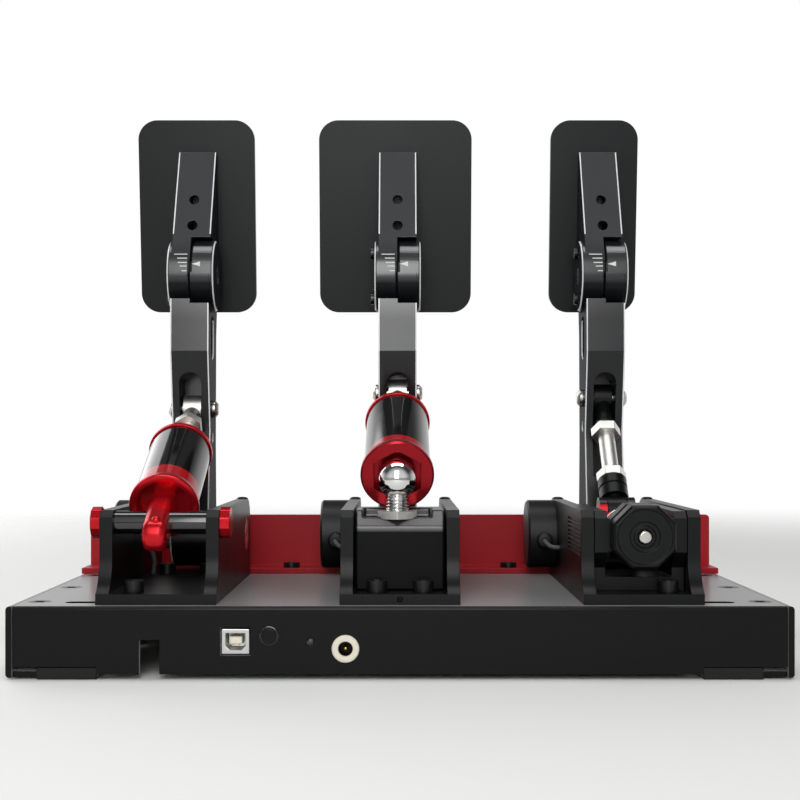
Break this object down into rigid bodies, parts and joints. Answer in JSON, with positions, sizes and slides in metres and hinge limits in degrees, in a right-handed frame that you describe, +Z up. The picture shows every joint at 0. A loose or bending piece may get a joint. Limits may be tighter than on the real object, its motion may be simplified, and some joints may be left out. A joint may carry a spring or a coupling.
{
  "type": "sim racing pedal set",
  "caption": "Throttle, brake and clutch pedals with open linkages, each in its own channel frame on a sheet-steel base with a red heel bar.",
  "frame": {"origin": "middle of the base, on the ground under the feet", "axes": "+Z up, +Y towards the driver, +X towards the clutch"},
  "size_m": [0.33, 0.2813, 0.2656],
  "materials": {
    "black_powder_coat": "semi-gloss black powder coat",
    "black_anodised": "matte black anodised, bright cut chamfers",
    "red_anodised": "red anodised",
    "red_paint": "satin red powder coat",
    "zinc_steel": "bright zinc plated",
    "black_screw": "blackened screw steel",
    "chrome_ball": "polished",
    "gloss_tube": "glossy black",
    "foot_rubber": "matte black",
    "red_elastomer": "satin",
    "black_plastic": "fine matte grain",
    "lead_jacket": "grey cable jacket",
    "board": "green solder mask",
    "socket_shell": "tin plated",
    "cream_plastic": "cream",
    "led_lens": "clear",
    "brass": "turned"
  },
  "bodies": {
    "base": {"base_tray": "black_powder_coat", "side_rails": "black_powder_coat", "rail_screws": "black_screw", "rubber_feet": "foot_rubber", "heel_bar": "red_paint", "heel_bar_screws": "black_screw", "controller_board": "board", "board_standoffs": "brass", "usb_socket": "socket_shell", "power_socket": "cream_plastic", "status_led": "led_lens", "throttle_frame": "black_anodised", "brake_frame": "black_anodised", "clutch_frame": "black_anodised", "frame_bolts": "black_screw", "clamp_screws": "black_screw", "pivot_bearings": "zinc_steel", "pivot_sensors": "black_plastic", "sensor_leads": "lead_jacket", "throttle_cross_shaft": "black_anodised", "throttle_shaft_knobs": "red_anodised", "brake_load_block": "black_anodised", "brake_ball_stud": "chrome_ball", "brake_stud_nut": "zinc_steel", "clutch_cradle": "black_anodised", "clutch_rocker_pin": "zinc_steel", "clutch_spring": "black_screw", "clutch_spring_cup": "black_anodised"},
    "button": {"reset_button": "black_plastic"},
    "knob": {"clutch_preload_knob": "black_plastic"},
    "throttle_barrel": {"throttle_damper_eye": "red_anodised", "throttle_damper_tube": "gloss_tube", "throttle_damper_collar": "red_anodised", "throttle_spring": "zinc_steel"},
    "throttle_rod": {"throttle_damper_rod": "zinc_steel"},
    "brake_barrel": {"brake_socket_cap": "red_anodised", "brake_cylinder": "gloss_tube", "brake_collar": "red_anodised", "brake_elastomers": "red_elastomer"},
    "brake_push_rod": {"brake_rod": "zinc_steel"},
    "clutch_rocker_body": {"clutch_rocker": "red_anodised"},
    "clutch_link": {"clutch_rod": "zinc_steel", "clutch_rod_ends": "black_anodised"},
    "clutch_guide": {"clutch_guide_bolt": "zinc_steel"},
    "throttle_arm": {"throttle_lower_arm": "black_anodised", "throttle_arm_pins": "zinc_steel"},
    "throttle_face": {"throttle_upper_arm": "black_anodised", "throttle_pedal_face": "black_anodised", "throttle_face_screws": "black_screw"},
    "brake_arm": {"brake_lower_arm": "black_anodised", "brake_arm_pins": "zinc_steel"},
    "brake_face": {"brake_upper_arm": "black_anodised", "brake_pedal_face": "black_anodised", "brake_face_screws": "black_screw"},
    "clutch_arm": {"clutch_lower_arm": "black_anodised", "clutch_arm_pins": "zinc_steel"},
    "clutch_face": {"clutch_upper_arm": "black_anodised", "clutch_pedal_face": "black_anodised", "clutch_face_screws": "black_screw"}
  },
  "joints": [
    {"name": "throttle_pedal", "type": "hinge", "parent": "base", "child": "throttle_arm", "pos_m": [-0.1042, -0.015, 0.0525], "axis": [1, 0, 0], "range_deg": [0, 16], "stiffness_Nm_per_rad": 18, "springref_deg": -3},
    {"name": "throttle_face_tilt", "type": "hinge", "parent": "throttle_arm", "child": "throttle_face", "pos_m": [-0.1042, -0.0115, 0.183], "axis": [1, 0, 0], "range_deg": [-10, 10]},
    {"name": "brake_pedal", "type": "hinge", "parent": "base", "child": "brake_arm", "pos_m": [-0.0012, -0.015, 0.0525], "axis": [1, 0, 0], "range_deg": [0, 8], "stiffness_Nm_per_rad": 120, "springref_deg": -3},
    {"name": "brake_face_tilt", "type": "hinge", "parent": "brake_arm", "child": "brake_face", "pos_m": [-0.0012, -0.0115, 0.183], "axis": [1, 0, 0], "range_deg": [-10, 10]},
    {"name": "clutch_pedal", "type": "hinge", "parent": "base", "child": "clutch_arm", "pos_m": [0.1018, -0.015, 0.0525], "axis": [1, 0, 0], "range_deg": [0, 10], "stiffness_Nm_per_rad": 40, "springref_deg": -3},
    {"name": "clutch_face_tilt", "type": "hinge", "parent": "clutch_arm", "child": "clutch_face", "pos_m": [0.1018, -0.0115, 0.183], "axis": [1, 0, 0], "range_deg": [-10, 10]},
    {"name": "throttle_barrel_swing", "type": "hinge", "parent": "base", "child": "throttle_barrel", "pos_m": [-0.1042, -0.119, 0.0644], "axis": [1, 0, 0], "range_deg": [0, 3.53]},
    {"name": "throttle_rod_slide", "type": "slide", "parent": "throttle_barrel", "child": "throttle_rod", "axis": [0, 0.8995, 0.4369], "range_m": [-0.01672, 0], "deforming": ["throttle_spring"]},
    {"name": "brake_barrel_swing", "type": "hinge", "parent": "base", "child": "brake_barrel", "pos_m": [-0.0012, -0.11, 0.083], "axis": [1, 0, 0], "range_deg": [0, 2.31]},
    {"name": "brake_rod_slide", "type": "slide", "parent": "brake_barrel", "child": "brake_push_rod", "axis": [0, 0.9214, 0.3887], "range_m": [-0.00957, 0], "deforming": ["brake_elastomers"]},
    {"name": "clutch_rocker_swing", "type": "hinge", "parent": "base", "child": "clutch_rocker_body", "pos_m": [0.103, -0.068, 0.044], "axis": [1, 0, 0], "range_deg": [0, 31.47]},
    {"name": "clutch_link_swing", "type": "hinge", "parent": "clutch_rocker_body", "child": "clutch_link", "pos_m": [0.1018, -0.0635, 0.066], "axis": [1, 0, 0], "range_deg": [-31.52, 0]},
    {"name": "clutch_guide_slide", "type": "slide", "parent": "base", "child": "clutch_guide", "axis": [0, -1, 0], "range_m": [0, 0.00778], "deforming": ["clutch_spring"]},
    {"name": "clutch_preload_turn", "type": "hinge", "parent": "base", "child": "knob", "pos_m": [0.103, -0.135, 0.0593], "axis": [0, 1, 0], "range_deg": [-180, 180]},
    {"name": "reset_button_press", "type": "slide", "parent": "base", "child": "button", "axis": [0, 1, 0], "range_m": [0, 0.001], "stiffness_N_per_m": 400, "springref_m": -0.0005}
  ],
  "couplings": [
    {"joint": "throttle_barrel_swing", "follows": "throttle_pedal", "ratio": 0.20172},
    {"joint": "throttle_rod_slide", "follows": "throttle_pedal", "m_per_rad": -0.058783},
    {"joint": "brake_barrel_swing", "follows": "brake_pedal", "ratio": 0.25177},
    {"joint": "brake_rod_slide", "follows": "brake_pedal", "m_per_rad": -0.066385},
    {"joint": "clutch_rocker_swing", "follows": "clutch_pedal", "ratio": 3.0968},
    {"joint": "clutch_link_swing", "follows": "clutch_pedal", "ratio": -3.1022},
    {"joint": "clutch_guide_slide", "follows": "clutch_pedal", "m_per_rad": 0.042884}
  ]
}
